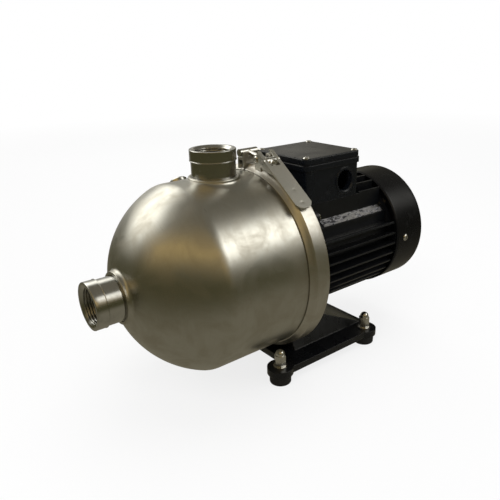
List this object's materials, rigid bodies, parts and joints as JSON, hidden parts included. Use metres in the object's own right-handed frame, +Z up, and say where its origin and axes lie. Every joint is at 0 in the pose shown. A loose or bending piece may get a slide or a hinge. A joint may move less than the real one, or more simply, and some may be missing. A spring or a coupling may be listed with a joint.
{
  "type": "horizontal multistage centrifugal pump",
  "caption": "End-suction horizontal multistage pump: domed stainless sleeve clamped by a toggle-lever band to a finned fan-cooled motor on a pressed base plate with rubber feet.",
  "frame": {"origin": "on the floor at the centre of the four rubber feet", "axes": "+X along the shaft from the suction port to the fan, +Y to the far side away from the cable entry, +Z up"},
  "size_m": [0.3599, 0.186, 0.2255],
  "materials": {
    "satin_steel": "satin stainless steel, brushed round the barrel",
    "turned_steel": "turned stainless steel",
    "clamp_steel": "rolled stainless strip",
    "stage_steel": "pressed stainless sheet",
    "shaft_steel": "ground steel",
    "bearing_steel": "polished bearing steel",
    "zinc_steel": "bright zinc-plated steel",
    "lamination_steel": "stacked electrical sheet",
    "copper_wire": "enamelled copper wire, taken as a solid",
    "black_casting": "black painted aluminium casting",
    "black_aluminium": "black semi-gloss painted aluminium",
    "black_sheet": "black satin sheet steel",
    "black_plate": "black semi-gloss coated sheet steel",
    "box_plastic": "black semi-gloss plastic",
    "block_plastic": "grey moulded plastic",
    "fan_plastic": "black moulded plastic",
    "ring_plastic": "pale wear-ring plastic",
    "stud_brass": "bare brass",
    "seal_face": "dark lapped carbon and ceramic",
    "seal_rubber": "black rubber",
    "foot_rubber": "matt black rubber",
    "worn_foil": "worn bare foil"
  },
  "bodies": {
    "frame": {"pump_sleeve": "satin_steel", "suction_port": "turned_steel", "discharge_port": "turned_steel", "fill_plug_ring": "seal_rubber", "drain_plug_ring": "seal_rubber", "inlet_guide": "stage_steel", "chamber_1": "stage_steel", "chamber_2": "stage_steel", "chamber_3": "stage_steel", "neck_rings": "ring_plastic", "outlet_cage": "stage_steel", "seal_plate": "stage_steel", "sleeve_ring": "seal_rubber", "seal_seat": "seal_face", "clamp_band": "clamp_steel", "clamp_hook": "clamp_steel", "clamp_lug": "clamp_steel", "motor_stool": "black_casting", "stool_bolts": "zinc_steel", "stator_housing": "black_aluminium", "stator_core": "lamination_steel", "stator_winding": "copper_wire", "drive_bearing_outer": "bearing_steel", "fan_bearing_outer": "bearing_steel", "fan_end_shield": "black_casting", "shield_screws": "zinc_steel", "fan_cover": "black_sheet", "cover_screws": "zinc_steel", "rating_plate": "worn_foil", "terminal_box": "box_plastic", "lid_gasket": "seal_rubber", "box_lid": "box_plastic", "lid_screws": "zinc_steel", "terminal_block": "block_plastic", "terminal_studs": "stud_brass", "base_plate": "black_plate", "base_bolts": "zinc_steel", "rubber_feet": "foot_rubber", "foot_studs": "zinc_steel", "foot_washers": "zinc_steel", "foot_nuts": "zinc_steel", "cap_nuts": "zinc_steel"},
    "rotor": {"shaft": "shaft_steel", "impeller_1": "stage_steel", "impeller_2": "stage_steel", "impeller_3": "stage_steel", "shaft_spacers": "stage_steel", "shaft_nut": "zinc_steel", "seal_unit": "seal_face", "rotor_core": "lamination_steel", "drive_bearing_inner": "bearing_steel", "fan_bearing_inner": "bearing_steel", "fan": "fan_plastic"},
    "clamp_handle": {"lever": "clamp_steel", "lever_rivets": "zinc_steel"},
    "tension_bolt": {"t_bolt": "zinc_steel", "t_bolt_trunnion": "zinc_steel", "t_bolt_nut": "zinc_steel"},
    "filling_plug": {"fill_plug": "turned_steel"},
    "draining_plug": {"drain_plug": "turned_steel"}
  },
  "joints": [
    {"name": "rotor_spin", "type": "hinge", "parent": "frame", "child": "rotor", "pos_m": [0, 0, 0.112], "axis": [1, 0, 0], "continuous": true},
    {"name": "lever_swing", "type": "hinge", "parent": "frame", "child": "clamp_handle", "pos_m": [-0.04135, -0.01371, 0.21207], "axis": [-1, 0, 0], "range_deg": [0, 140]},
    {"name": "bolt_carry", "type": "hinge", "parent": "clamp_handle", "child": "tension_bolt", "pos_m": [-0.04135, -0.02251, 0.21017], "axis": [-1, 0, 0], "range_deg": [-140, 0]},
    {"name": "fill_plug_draw", "type": "slide", "parent": "frame", "child": "filling_plug", "axis": [0, 0.5879, 0.8089], "range_m": [0, 0.03]},
    {"name": "drain_plug_draw", "type": "slide", "parent": "frame", "child": "draining_plug", "axis": [0, 0, -1], "range_m": [0, 0.012]}
  ],
  "couplings": [
    {"joint": "bolt_carry", "follows": "lever_swing", "ratio": -1}
  ]
}
